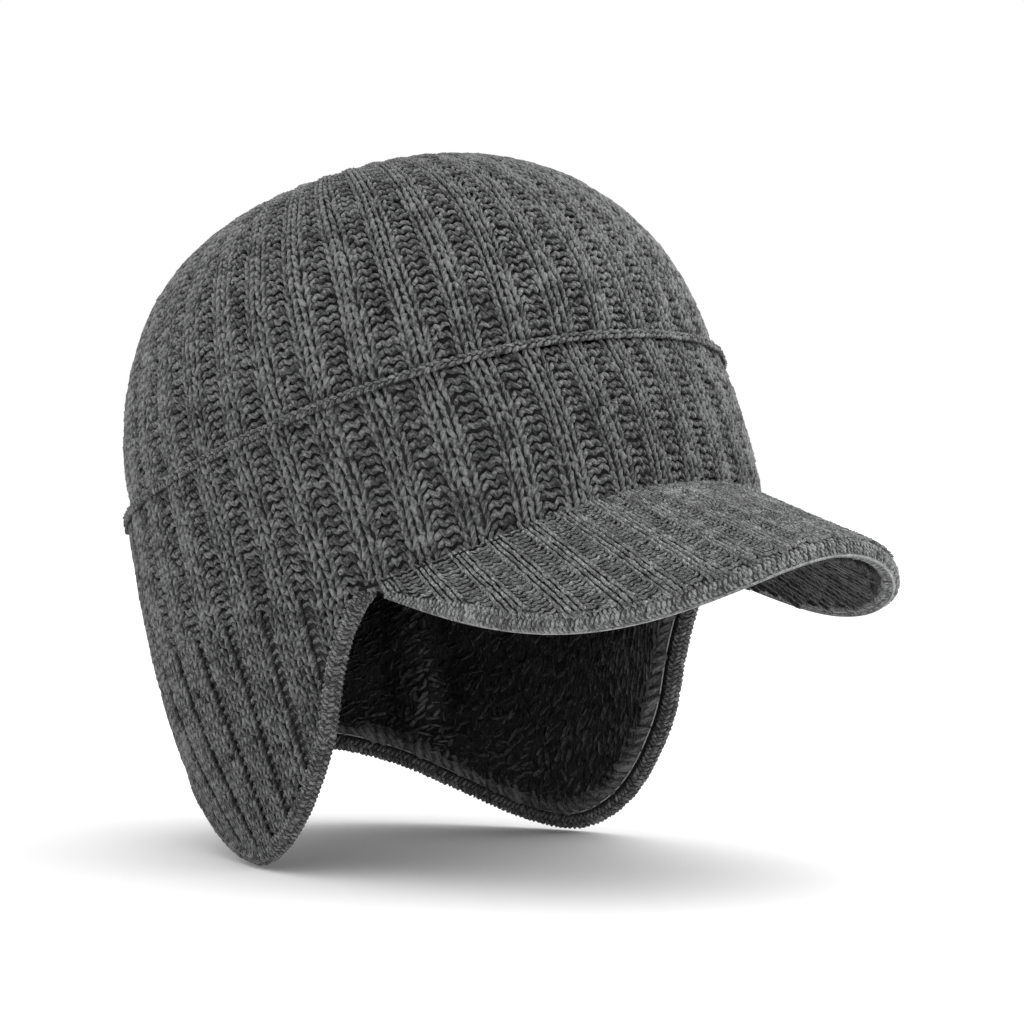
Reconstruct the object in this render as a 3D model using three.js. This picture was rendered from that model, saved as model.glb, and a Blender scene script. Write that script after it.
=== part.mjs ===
import * as THREE from "three";

// Knitted winter cap with a stiff peak, a turned-up band, ear flaps joined behind the neck and a fleece lining.
// Millimetres. The wearer looks along -Y and +Z is up, so +X is on the wearer's left.
// Angles round the head run from 0 at the brow over 90 at the wearer's left ear to 180 at the nape.

// Head sizes, taken at the ridge, the line where band and crown meet
const HALF_WIDTH = 89.5;
const HALF_FRONT = 112.5;
const HALF_BACK = 109.5;
const CROWN_HEIGHT = 95;
const CROWN_SHIFT = 8.5;
const BAND_HEIGHT = 54.5;
const RIDGE_SAG = 2.6;
const HEAD_TILT = 18.7;

// Cloth and its rib relief
const RIB_COUNT = 38;
const RIB_DEPTH = 1.7;
const CROWN_WALL = 3;
const BAND_STAND = 3;
const FLAP_WALL = 3.2;
const LINING_WALL = 4;
const SKIRT_DEPTH = 0.94;
const CLEARANCE = 0.3;

// Cords and hems
const RIDGE_WIDTH = 3.8;
const HEM_WIDTH = 7;
const HEM_THICKNESS = 6.2;

// Peak; its rounding exponents shape the rim seen from above and the arch of the rim seen from the front
const PEAK_ANGLE = 67.2;
const PEAK_REACH = 50.3;
const PEAK_NARROWING = 0.022;
const PEAK_SIDE_ROUND = 2.14;
const PEAK_FRONT_ROUND = 0.76;
const PEAK_ARCH = 2.8;
const PEAK_DROP = 41.4;
const PEAK_SIDE_DROP = 15.9;
const PEAK_THICKNESS = 6.2;
const PEAK_RIB_COUNT = 21;
const PEAK_RIB_DEPTH = 0.8;
const PEAK_EDGE_WIDTH = 8;

// Ends of the rolled rim and the hem at the corners: share of their full size, and how soon they reach it
const PEAK_CORNER_SHARE = 0.4;
const PEAK_CORNER_RUN = 0.13;
const HEM_CORNER_SHARE = 0.5;
const HEM_CORNER_RUN = 2.4;

// Flaps: the angle from which their ribs lean towards the tip, how far, and how the lean grows down the rib
const FLAP_TIP_ANGLE = 95;
const FLAP_RIB_LEAN = 10;
const RIB_LEAN_CURVE = 1.5;
const LEAST_FLAP_HEIGHT = 1;

// Crown section: exponents of its rounding, the swell of its flanks and the dip of its gathered middle
const CROWN_ROUND = 0.56;
const CROWN_RISE = 1.38;
const CROWN_SWELL = 0.055;
const PLAN_ROUND = 2.2;
const GATHER_DIP = 2.5;
const GATHER_SIZE = 0.2;
const RIB_FADE_CLIMB = 78;

// Reach of the cloth below the ridge, as shares of its reach at the ridge; depth in band heights
const SHELL_ROWS = [
  { depth: 0, front: 1, side: 1, back: 1 },
  { depth: 1, front: 1.06, side: 0.94, back: 1.09 },
  { depth: 2.3, front: 0.83, side: 0.89, back: 0.93 },
];

// Lower edge of the band; depth in band heights
const BAND_EDGE_ROWS = [
  { angle: 0, depth: 0.98 },
  { angle: 16, depth: 0.995 },
  { angle: 30, depth: 1.042 },
  { angle: 44, depth: 1.1 },
  { angle: 56, depth: 1.128 },
  { angle: 74, depth: 1.125 },
  { angle: 84, depth: 1.045 },
  { angle: 100, depth: 1.02 },
  { angle: 130, depth: 0.985 },
  { angle: 180, depth: 0.97 },
];

// Lower edge of the ear flaps and the neck piece between them; depth in band heights
const FLAP_EDGE_ROWS = [
  { angle: PEAK_ANGLE, depth: 1.2 },
  { angle: 72, depth: 1.33 },
  { angle: 77, depth: 1.57 },
  { angle: 82, depth: 1.9 },
  { angle: 88, depth: 2.13 },
  { angle: 96, depth: 2.33 },
  { angle: 104, depth: 2.435 },
  { angle: 112, depth: 2.46 },
  { angle: 119, depth: 2.39 },
  { angle: 127, depth: 2.22 },
  { angle: 136, depth: 1.96 },
  { angle: 147, depth: 1.68 },
  { angle: 160, depth: 1.5 },
  { angle: 180, depth: 1.447 },
];

// Climb of the rings of ribs over the crown, in degrees of its section
const CROWN_RINGS = [0, 17, 34, 50, 63, 74, 82.5, 88.7];
const LINING_RINGS = [0, 22, 43, 61, 77, 87.5];

// Mesh fineness
const SMOOTH_COLUMNS = 50;
const LINING_COLUMNS = 56;
const RIDGE_SIDES = 6;
const HEM_STEPS = 56;
const HEM_SIDES = 8;
const PEAK_EDGE_STEPS = 40;
const HEM_START = 0.6;
const HEM_SPACING = 1.4;
const EDGE_STEP = 1.2;
const SLOPE_STEP = 0.3;
const RIM_SAMPLES = 100;
const RIM_SLOPE_STEP = 0.005;
const SEARCH_LIMIT = 1e-5;

// Rows of points down the pieces, as shares of their run
const FLAP_LEVELS = [0, 0.33, 0.66, 1];
const PEAK_LEVELS = [0, 0.5, 1];
const LINING_LEVELS = [-0.5, 0, 0.12, 0.4, 0.7, 1];

// Length over which the lining steps out below the crown's layer
const LINING_STEP_RUN = 8.7;
// The peak's body begins where it reaches this share of the way to the rim, and its edge ends just short of the corner
const LEAST_PEAK_REACH = 0.12;
const PEAK_EDGE_END = 0.985;

const RADIANS = Math.PI / 180;
const RIB_STEP = 360 / RIB_COUNT;
// One rib: share of the rib step from its middle, and share of the relief that stands there
const RIB_PROFILE = [
  { share: -0.27, height: 1 },
  { share: 0.27, height: 1 },
  { share: 0.37, height: 0 },
  { share: 0.63, height: 0 },
];

const mix = (a, b, t) => a + (b - a) * t;
const clamp01 = (t) => Math.min(Math.max(t, 0), 1);
const smooth = (t) => clamp01(t) ** 2 * (3 - 2 * clamp01(t));

// Smooth curve through the rows of a table, read at one value of its first column
function readRows(rows, column, key, value) {
  const last = rows.length - 1;
  let i = 0;
  while (i < last - 1 && rows[i + 1][column] < value) i += 1;
  const slope = (k) => {
    const a = rows[Math.max(k - 1, 0)];
    const b = rows[Math.min(k + 1, last)];
    return (b[key] - a[key]) / (b[column] - a[column]);
  };
  const span = rows[i + 1][column] - rows[i][column];
  const t = clamp01((value - rows[i][column]) / span);
  const start = (1 + 2 * t) * (1 - t) ** 2 * rows[i][key] + t * t * (3 - 2 * t) * rows[i + 1][key];
  return start + span * (t * (1 - t) ** 2 * slope(i) - t * t * (1 - t) * slope(i + 1));
}

// Share of the reach at a depth below the ridge: the parabola through the three shell rows
function shellShare(key, depth) {
  return SHELL_ROWS.reduce((sum, row) => {
    const others = SHELL_ROWS.filter((other) => other !== row);
    const weight = others.reduce((w, o) => (w * (depth - o.depth)) / (row.depth - o.depth), 1);
    return sum + row[key] * weight;
  }, 0);
}

// Direction round the head on a slightly squared oval
function planDirection(angle, exponent) {
  const fore = -Math.cos(angle * RADIANS);
  const aside = Math.sin(angle * RADIANS);
  const length = (Math.abs(fore) ** exponent + Math.abs(aside) ** exponent) ** (-1 / exponent);
  return { fore: fore * length, aside: aside * length };
}

// The head leans back, and the part's origin is the middle of the brow ring
function place(x, y, z) {
  const lift = z + BAND_HEIGHT;
  const cos = Math.cos(HEAD_TILT * RADIANS);
  const sin = Math.sin(HEAD_TILT * RADIANS);
  return new THREE.Vector3(x, y * cos + lift * sin, lift * cos - y * sin);
}

const ridgeHeight = (angle) => -RIDGE_SAG * Math.sin(angle * RADIANS) ** 2;
const foldAngle = (angle) => {
  const turn = ((angle % 360) + 360) % 360;
  return turn > 180 ? 360 - turn : turn;
};
const bandEdge = (angle) => -BAND_HEIGHT * readRows(BAND_EDGE_ROWS, "angle", "depth", foldAngle(angle));
const flapEdge = (angle) => -BAND_HEIGHT * readRows(FLAP_EDGE_ROWS, "angle", "depth", foldAngle(angle));

// A point below the ridge, at a height and a distance outside the cloth's base
function shellPoint(angle, z, out) {
  const depth = -z / BAND_HEIGHT;
  const { fore, aside } = planDirection(angle, PLAN_ROUND);
  const x = (HALF_WIDTH * shellShare("side", depth) + out) * aside;
  const reach = fore < 0 ? HALF_FRONT * shellShare("front", depth) : HALF_BACK * shellShare("back", depth);
  return place(x, (reach + out) * fore, z);
}

// A point on the crown; climb in degrees from the ridge to the gather
function crownPoint(angle, climb, inset) {
  const sin = Math.sin(climb * RADIANS);
  const cos = Math.max(Math.cos(climb * RADIANS), 0);
  const radius = cos ** CROWN_ROUND * (1 + 2 * CROWN_SWELL * sin * cos);
  const rise = sin ** CROWN_RISE;
  const { fore, aside } = planDirection(angle, mix(2, PLAN_ROUND, cos));
  const reach = fore < 0 ? HALF_FRONT : HALF_BACK;
  const dip = GATHER_DIP * clamp01(1 - radius / GATHER_SIZE) ** 2;
  const z = (CROWN_HEIGHT - inset) * rise + ridgeHeight(angle) * (1 - rise) - dip;
  const y = (reach - inset) * fore * radius + CROWN_SHIFT * rise ** 2;
  return place((HALF_WIDTH - inset) * aside * radius, y, z);
}

// A ring is a list of points with their places round the head, in degrees
function ring(angles, pointAt) {
  return angles.map((angle) => ({ angle, point: pointAt(angle) }));
}

const evenAngles = (count, from = 0) => Array.from({ length: count }, (_, i) => from + (360 * i) / count);

// Columns of the ribs between two angles, each with the share of the relief at it
function ribColumns(from, to) {
  const columns = [];
  for (let rib = Math.floor(from / RIB_STEP) - 1; rib * RIB_STEP < to + RIB_STEP; rib += 1) {
    RIB_PROFILE.forEach(({ share, height }) => columns.push({ angle: (rib + share) * RIB_STEP, height }));
  }
  return columns.filter(({ angle }) => angle >= from && angle < to);
}

// Triangles between two neighbouring rings of any two counts, both closed round the head
function zipRings(triangles, lower, upper) {
  const at = (list, i) => list[i % list.length];
  const angleAt = (list, i) => at(list, i).angle + 360 * Math.floor(i / list.length);
  let i = 0;
  let j = 0;
  while (i < lower.length || j < upper.length) {
    const lowNext = i < lower.length ? angleAt(lower, i + 1) : Infinity;
    const highNext = j < upper.length && upper.length > 1 ? angleAt(upper, j + 1) : Infinity;
    if (lower.length > 1 && lowNext <= highNext) {
      triangles.push(at(lower, i).point, at(lower, i + 1).point, at(upper, j).point);
      i += 1;
    } else if (upper.length > 1) {
      triangles.push(at(lower, i).point, at(upper, j + 1).point, at(upper, j).point);
      j += 1;
    }
    if (upper.length === 1 && i === lower.length) break;
    if (lower.length === 1 && j === upper.length) break;
  }
}

// A closed body over a row of rings that runs down its outside and back up its inside.
// It goes from pole to pole, or is closed back round to the first ring.
function ringBody(rings, closed) {
  const triangles = [];
  rings.slice(0, -1).forEach((upper, k) => zipRings(triangles, rings[k + 1], upper));
  if (closed) zipRings(triangles, rings[0], rings[rings.length - 1]);
  return geometryOf(triangles);
}

function geometryOf(triangles) {
  const geometry = new THREE.BufferGeometry().setFromPoints(triangles);
  geometry.computeVertexNormals();
  return geometry;
}

// A closed body swept through sections that all have the same number of points, with flat ends
function sweptBody(sections) {
  const triangles = [];
  const count = sections[0].length;
  sections.slice(0, -1).forEach((section, k) => {
    const next = sections[k + 1];
    section.forEach((point, i) => {
      const j = (i + 1) % count;
      triangles.push(point, section[j], next[i]);
      triangles.push(section[j], next[j], next[i]);
    });
  });
  endCap(triangles, sections[0], true);
  endCap(triangles, sections[sections.length - 1], false);
  return geometryOf(triangles);
}

// A fan over the end of a sweep, about the middle of the section
function endCap(triangles, section, first) {
  const middle = new THREE.Vector3();
  section.forEach((point) => middle.addScaledVector(point, 1 / section.length));
  section.forEach((point, i) => {
    const next = section[(i + 1) % section.length];
    if (first) triangles.push(middle, next, point);
    else triangles.push(middle, point, next);
  });
}

// Crown: ribbed dome that runs on as a plain layer behind the band
function crownGeometry() {
  const columns = ribColumns(-RIB_STEP / 2, 360 - RIB_STEP / 2);
  const plain = evenAngles(SMOOTH_COLUMNS);
  const ribbed = (climb) =>
    columns.map(({ angle, height }) => {
      const fade = clamp01((90 - climb) / (90 - RIB_FADE_CLIMB));
      const relief = RIB_DEPTH * (1 - height) * fade;
      return { angle, point: crownPoint(angle, climb, relief) };
    });
  const low = -BAND_HEIGHT * SKIRT_DEPTH;
  const skirt = (t, out) =>
    ring(plain, (angle) => shellPoint(angle, mix(ridgeHeight(angle) - RIDGE_WIDTH / 4, low, t), out));
  const outer = CROWN_RINGS.map(ribbed).reverse();
  const inner = LINING_RINGS.map((climb) => ring(plain, (angle) => crownPoint(angle, climb, CROWN_WALL)));
  const top = [{ angle: 0, point: crownPoint(0, 90, 0) }];
  const ceiling = [{ angle: 0, point: crownPoint(0, 90, CROWN_WALL) }];
  const outerSkirt = [0, 0.5, 1].map((t) => skirt(t, -2 * CLEARANCE));
  const innerSkirt = [1, 0.5].map((t) => skirt(t, -CROWN_WALL));
  return ringBody([top, ...outer, ...outerSkirt, ...innerSkirt, ...inner, ceiling], false);
}

// Band: ribbed ring outside the crown's skirt, down to the seam of peak and flaps
function bandGeometry() {
  const columns = ribColumns(-RIB_STEP / 2, 360 - RIB_STEP / 2);
  const topGap = RIDGE_WIDTH / 2 + CLEARANCE;
  const heightAt = (angle, t) => mix(ridgeHeight(angle) - topGap, bandEdge(angle), t);
  const outer = (t) =>
    columns.map(({ angle, height }) => {
      const out = BAND_STAND - RIB_DEPTH * (1 - height);
      return { angle, point: shellPoint(angle, heightAt(angle, t), out) };
    });
  const inner = (t) => ring(evenAngles(SMOOTH_COLUMNS), (angle) => shellPoint(angle, heightAt(angle, t), 0));
  return ringBody([outer(0), outer(0.5), outer(1), inner(1), inner(0.5), inner(0)], true);
}

// Ridge: raised cord of stitches along the top of the band
function ridgeGeometry() {
  const radius = RIDGE_WIDTH / 2;
  const around = evenAngles(SMOOTH_COLUMNS);
  const sides = evenAngles(RIDGE_SIDES).map((turn) => turn * RADIANS);
  const middle = radius + 2 * CLEARANCE;
  const rings = sides.map((turn) =>
    ring(around, (angle) => {
      const out = middle + radius * Math.cos(turn);
      return shellPoint(angle, ridgeHeight(angle) - radius * Math.sin(turn), out);
    }),
  );
  return ringBody(rings, true);
}

// Lean of a flap rib at its lower end, in degrees round the head
function ribLean(angle) {
  const folded = foldAngle(angle);
  const share = clamp01((folded - FLAP_TIP_ANGLE) / (180 - FLAP_TIP_ANGLE));
  const lean = FLAP_RIB_LEAN * Math.sin(Math.PI * share);
  return angle > 180 ? lean : -lean;
}

// A point of the flap edge moved into the cloth by a distance, as an angle and a height
function insetPoint(angle, distance) {
  const z = flapEdge(angle);
  const here = shellPoint(angle, z, 0);
  const aheadZ = flapEdge(angle + SLOPE_STEP);
  const ahead = shellPoint(angle + SLOPE_STEP, aheadZ, 0);
  const perDegree = here.distanceTo(shellPoint(angle + 1, z, 0));
  const rise = (aheadZ - z) / here.distanceTo(ahead);
  const run = Math.sqrt(Math.max(1 - rise ** 2, 0));
  return { angle: angle - (rise * distance) / perDegree, z: z + run * distance };
}

// The whole flap edge moved into the cloth, from one corner to the nape
function insetEdge(distance) {
  const points = [];
  for (let angle = PEAK_ANGLE; angle <= 180; angle += EDGE_STEP) points.push(insetPoint(angle, distance));
  const rising = points.filter((point, i) => points.slice(0, i).every((before) => before.angle < point.angle));
  return rising.concat([{ angle: 180, z: flapEdge(180) + distance }]);
}

function insetHeight(edge, angle) {
  const folded = foldAngle(angle);
  if (folded < edge[0].angle) return edge[0].z;
  return readLine(edge, folded);
}

// First angle behind the peak's corner where an inset edge lies a distance below the band
function firstAngleBelow(edge, distance) {
  const found = edge.find((point) => point.z < bandEdge(point.angle) - distance);
  return found.angle;
}

function readLine(edge, angle) {
  const i = Math.min(Math.max(edge.findIndex((point) => point.angle >= angle), 1), edge.length - 1);
  const t = (angle - edge[i - 1].angle) / (edge[i].angle - edge[i - 1].angle);
  return mix(edge[i - 1].z, edge[i].z, clamp01(t));
}

// Ear flaps and neck piece: one ribbed panel from corner to corner, inside its hem
function flapsGeometry() {
  const edge = insetEdge(HEM_WIDTH + 2 * CLEARANCE);
  const start = firstAngleBelow(edge, LEAST_FLAP_HEIGHT);
  const pointAt = (angle, t, out) => {
    const lowAngle = angle + ribLean(angle);
    const high = bandEdge(angle) - 2 * CLEARANCE;
    const low = Math.min(insetHeight(edge, lowAngle), high - LEAST_FLAP_HEIGHT);
    return shellPoint(mix(angle, lowAngle, t ** RIB_LEAN_CURVE), mix(high, low, t), out);
  };
  const sections = ribColumns(start, 360 - start).map(({ angle, height }) => {
    const out = BAND_STAND - RIB_DEPTH * (1 - height);
    const outside = FLAP_LEVELS.map((t) => pointAt(angle, t, out));
    const inside = FLAP_LEVELS.map((t) => pointAt(angle, t, BAND_STAND - FLAP_WALL)).reverse();
    return [...outside, ...inside];
  });
  return sweptBody(sections);
}

// Hem: rounded binding along the edge of the flaps and the neck piece, from one corner of the peak to the other
function hemGeometry() {
  const start = PEAK_ANGLE + HEM_START;
  const half = [];
  const steps = HEM_STEPS / 2;
  for (let i = 0; i <= steps; i += 1) half.push(mix(start, 180, (i / steps) ** HEM_SPACING));
  const stations = [...half, ...half.slice(0, -1).reverse().map((angle) => 360 - angle)];
  const middleOut = BAND_STAND - HEM_THICKNESS / 2 + 2 * CLEARANCE;
  const sizeAt = (angle) => mix(HEM_CORNER_SHARE, 1, smooth((foldAngle(angle) - start) / HEM_CORNER_RUN));
  const along = (angle, out) => {
    const folded = foldAngle(angle);
    const inset = insetPoint(folded, (sizeAt(angle) * HEM_WIDTH) / 2);
    return shellPoint(angle > 180 ? 360 - inset.angle : inset.angle, inset.z, out);
  };
  const sections = stations.map((angle) => {
    const point = along(angle, middleOut);
    const before = along(Math.max(angle - SLOPE_STEP, start), middleOut);
    const after = along(Math.min(angle + SLOPE_STEP, 360 - start), middleOut);
    const tangent = after.sub(before).normalize();
    const outward = along(angle, middleOut + 1).sub(point).normalize();
    const across = new THREE.Vector3().crossVectors(tangent, outward).normalize();
    return evenAngles(HEM_SIDES, 180 / HEM_SIDES).reverse().map((turn) => {
      const wide = sizeAt(angle) * (HEM_WIDTH / 2) * Math.cos(turn * RADIANS);
      const thick = sizeAt(angle) * (HEM_THICKNESS / 2) * Math.sin(turn * RADIANS);
      return point.clone().addScaledVector(across, wide).addScaledVector(outward, thick);
    });
  });
  return sweptBody(sections);
}

// Lining: fleece shell inside crown, band and flaps. Behind the band it leaves room for the crown's layer,
// and it steps out below that layer to lie against the flaps.
function liningGeometry() {
  const edge = insetEdge(HEM_WIDTH + 3 * CLEARANCE);
  const bottom = (angle) => {
    const brow = bandEdge(angle) + 3 * CLEARANCE;
    return foldAngle(angle) < edge[0].angle + EDGE_STEP ? brow : Math.min(insetHeight(edge, angle), brow);
  };
  const behindBand = CROWN_WALL + 1.5 * CLEARANCE;
  const behindFlap = FLAP_WALL - BAND_STAND + 2 * CLEARANCE;
  const step = -BAND_HEIGHT * SKIRT_DEPTH - 3 * CLEARANCE;
  const insetAt = (z) => mix(behindBand, behindFlap, clamp01((step - z) / LINING_STEP_RUN));
  const heightAt = (angle, t) => (t < 0 ? mix(step, ridgeHeight(angle), -t) : mix(step, bottom(angle), t));
  const skirt = (t, extra) =>
    ring(evenAngles(LINING_COLUMNS), (angle) => {
      const z = heightAt(angle, t);
      return shellPoint(angle, z, -insetAt(z) - extra);
    });
  const dome = (climb, inset) => ring(evenAngles(SMOOTH_COLUMNS), (angle) => crownPoint(angle, climb, inset));
  const outer = LINING_RINGS.map((climb) => dome(climb, behindBand)).reverse();
  const inner = LINING_RINGS.map((climb) => dome(climb, behindBand + LINING_WALL));
  const top = [{ angle: 0, point: crownPoint(0, 90, behindBand) }];
  const ceiling = [{ angle: 0, point: crownPoint(0, 90, behindBand + LINING_WALL) }];
  const outerSkirt = LINING_LEVELS.map((t) => skirt(t, 0));
  const innerSkirt = LINING_LEVELS.map((t) => skirt(t, LINING_WALL)).reverse();
  return ringBody([top, ...outer, ...outerSkirt, ...innerSkirt, ...inner, ceiling], false);
}

// Peak sheet before it gets its thickness: side runs from -1 to 1 over the brow, reach from seam to rim
function peakSheet(side, reach) {
  const angle = side * PEAK_ANGLE;
  const seam = bandEdge(angle) - CLEARANCE;
  const corner = flapEdge(PEAK_ANGLE);
  const spread = clamp01(1 - Math.abs(side) ** PEAK_SIDE_ROUND) ** PEAK_FRONT_ROUND;
  const root = shellPoint(angle, seam, BAND_STAND);
  const fall = PEAK_DROP + corner - bandEdge(0);
  const arch = fall * (1 - Math.abs(side) ** PEAK_ARCH);
  const rimHeight = corner - arch - PEAK_SIDE_DROP * 4 * side ** 2 * (1 - side ** 2);
  const { fore, aside } = planDirection(angle, PLAN_ROUND);
  const depth = -seam / BAND_HEIGHT;
  const narrowing = 1 - PEAK_NARROWING * spread;
  const x = (HALF_WIDTH * shellShare("side", depth) + BAND_STAND) * aside * narrowing;
  const y = (HALF_FRONT * shellShare("front", depth) + BAND_STAND) * fore - PEAK_REACH * spread;
  return root.lerp(place(x, y, rimHeight), reach);
}

function peakNormal(side, reach) {
  const step = 0.01;
  const within = (value) => Math.min(Math.max(value, -1), 1);
  const across = peakSheet(within(side + step), reach).sub(peakSheet(within(side - step), reach));
  const along = peakSheet(side, reach + step).sub(peakSheet(side, reach - step));
  return new THREE.Vector3().crossVectors(along, across).normalize();
}

// Share of its full thickness that the peak has near its corners
const peakSize = (side) => mix(PEAK_CORNER_SHARE, 1, smooth((1 - Math.abs(side)) / PEAK_CORNER_RUN));

// Peak: stiffened knit sheet, its upper face on the sheet at the seam and its lower face on it at the rim
function peakGeometry() {
  const rim = [];
  for (let step = -RIM_SAMPLES; step <= RIM_SAMPLES; step += 1) {
    const side = step / RIM_SAMPLES;
    rim.push({ point: peakSheet(side, 1), bound: PEAK_EDGE_WIDTH * peakSize(side) + CLEARANCE });
  }
  const isClear = (point) => rim.every((other) => other.point.distanceTo(point) > other.bound);
  const reachAt = (side) => {
    let low = 0;
    let high = 1;
    while (high - low > SEARCH_LIMIT) {
      const middle = (low + high) / 2;
      if (isClear(peakSheet(side, middle))) low = middle;
      else high = middle;
    }
    return low;
  };
  const columns = [];
  const lastRib = (PEAK_RIB_COUNT - 1) / 2;
  for (let rib = -lastRib; rib <= lastRib; rib += 1) {
    RIB_PROFILE.forEach(({ share, height }) => {
      columns.push({ side: ((rib + share) * 2) / PEAK_RIB_COUNT, height });
    });
  }
  const sections = columns.flatMap(({ side, height }) => {
    const far = reachAt(side);
    if (far < LEAST_PEAK_REACH) return [];
    const thickness = PEAK_THICKNESS * peakSize(side);
    const face = (t, share) => {
      const reach = t * far;
      const lift = thickness * (reach - 1 + share) - PEAK_RIB_DEPTH * share * (1 - height);
      return peakSheet(side, reach).addScaledVector(peakNormal(side, reach), lift);
    };
    const upper = PEAK_LEVELS.map((t) => face(t, 1));
    const under = PEAK_LEVELS.map((t) => face(t, 0)).reverse();
    return [[...upper, ...under]];
  });
  return sweptBody(sections);
}

// Peak edge: the knit rolled round the rim, thinner towards the corners
function peakEdgeGeometry() {
  const sections = [];
  for (let i = 0; i <= PEAK_EDGE_STEPS; i += 1) {
    const side = Math.sin(mix(-90, 90, i / PEAK_EDGE_STEPS) * RADIANS) * PEAK_EDGE_END;
    const size = peakSize(side);
    const tangent = peakSheet(side + RIM_SLOPE_STEP, 1).sub(peakSheet(side - RIM_SLOPE_STEP, 1)).normalize();
    const normal = peakNormal(side, 1);
    const inward = new THREE.Vector3().crossVectors(normal, tangent).normalize();
    const centre = peakSheet(side, 1).addScaledVector(inward, (size * PEAK_EDGE_WIDTH) / 2);
    centre.addScaledVector(normal, (size * PEAK_THICKNESS) / 2);
    const section = evenAngles(HEM_SIDES, 180 / HEM_SIDES).map((turn) => {
      const wide = ((size * PEAK_EDGE_WIDTH) / 2) * Math.cos(turn * RADIANS);
      const thick = ((size * PEAK_THICKNESS) / 2) * Math.sin(turn * RADIANS);
      return centre.clone().addScaledVector(inward, wide).addScaledVector(normal, thick);
    });
    sections.push(section);
  }
  return sweptBody(sections);
}

const knit = (color) => new THREE.MeshStandardMaterial({ color, roughness: 0.95, metalness: 0 });
const charcoal = 0x4b4c4d;
const lightCharcoal = 0x5c5c5e;
const fleece = 0x242424;

const cap = new THREE.Group();
const pieces = [
  ["crown", crownGeometry(), charcoal],
  ["band", bandGeometry(), charcoal],
  ["band_ridge", ridgeGeometry(), lightCharcoal],
  ["ear_flaps", flapsGeometry(), charcoal],
  ["flap_hem", hemGeometry(), charcoal],
  ["peak", peakGeometry(), lightCharcoal],
  ["peak_edge", peakEdgeGeometry(), lightCharcoal],
  ["lining", liningGeometry(), fleece],
];
for (const [name, geometry, color] of pieces) {
  const mesh = new THREE.Mesh(geometry, knit(color));
  mesh.name = name;
  cap.add(mesh);
}

export default cap;
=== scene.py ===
# Knitted winter cap: ribbed crown, turned-up band, arched peak, ear flaps with a hem, fleece lining
import math
from contextlib import contextmanager

import bmesh
import bpy
import numpy as np
from mathutils import Matrix, Vector


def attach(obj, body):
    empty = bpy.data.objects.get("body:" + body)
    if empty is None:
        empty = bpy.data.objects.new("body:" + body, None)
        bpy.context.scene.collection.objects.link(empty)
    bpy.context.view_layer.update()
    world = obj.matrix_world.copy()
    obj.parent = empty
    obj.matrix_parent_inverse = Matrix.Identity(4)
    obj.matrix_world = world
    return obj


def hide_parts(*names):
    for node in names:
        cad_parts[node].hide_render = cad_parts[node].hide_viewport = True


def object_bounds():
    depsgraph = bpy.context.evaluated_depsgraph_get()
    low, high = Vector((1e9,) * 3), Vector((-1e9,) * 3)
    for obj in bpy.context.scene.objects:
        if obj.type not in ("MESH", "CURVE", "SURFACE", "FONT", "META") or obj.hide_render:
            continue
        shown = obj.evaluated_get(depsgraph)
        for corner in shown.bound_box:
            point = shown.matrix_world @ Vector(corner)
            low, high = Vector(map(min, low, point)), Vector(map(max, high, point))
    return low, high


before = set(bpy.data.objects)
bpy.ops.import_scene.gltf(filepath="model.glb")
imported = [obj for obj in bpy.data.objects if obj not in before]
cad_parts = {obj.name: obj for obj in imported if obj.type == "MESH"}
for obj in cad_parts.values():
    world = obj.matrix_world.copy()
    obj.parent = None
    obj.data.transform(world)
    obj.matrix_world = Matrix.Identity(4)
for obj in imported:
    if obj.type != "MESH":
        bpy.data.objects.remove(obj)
cad_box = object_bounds()

MM = 0.001
DEGREES = math.pi / 180

# Head sizes in millimetres, the same as the solids have
HALF_WIDTH = 89.5
HALF_FRONT = 112.5
HALF_BACK = 109.5
CROWN_HEIGHT = 95
CROWN_SHIFT = 8.5
BAND_HEIGHT = 54.5
RIDGE_SAG = 2.6
HEAD_TILT = 18.7
CROWN_ROUND = 0.56
CROWN_RISE = 1.38
CROWN_SWELL = 0.055
PLAN_ROUND = 2.2
GATHER_DIP = 2.5
GATHER_SIZE = 0.2
BAND_STAND = 3
FLAP_WALL = 3.2
HEM_WIDTH = 7
HEM_THICKNESS = 6.2
RIDGE_WIDTH = 3.8
PEAK_ANGLE = 67.2
PEAK_REACH = 50.3
PEAK_NARROWING = 0.022
PEAK_SIDE_ROUND = 2.14
PEAK_FRONT_ROUND = 0.76
PEAK_ARCH = 2.8
PEAK_DROP = 41.4
PEAK_SIDE_DROP = 15.9
PEAK_THICKNESS = 6.2
PEAK_EDGE_WIDTH = 8
PEAK_EDGE_END = 0.985
PEAK_CORNER_SHARE = 0.4
PEAK_CORNER_RUN = 0.13
PEAK_FACE_END = 0.99
HEM_START = 0.6
HEM_CORNER_SHARE = 0.5
HEM_CORNER_RUN = 2.4
CLEARANCE = 0.3
CROWN_WALL = 3
LINING_WALL = 4
SKIRT_DEPTH = 0.94
LINING_STEP_RUN = 8.7
FLAP_TIP_ANGLE = 95
FLAP_RIB_LEAN = 10
RIB_LEAN_CURVE = 1.5

# Depth in band heights, reach to front, side and back as shares of the reach at the ridge
SHELL_ROWS = np.array([(0, 1, 1, 1), (1, 1.06, 0.94, 1.09), (2.3, 0.83, 0.89, 0.93)])
FRONT, SIDE, BACK = 1, 2, 3
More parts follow.
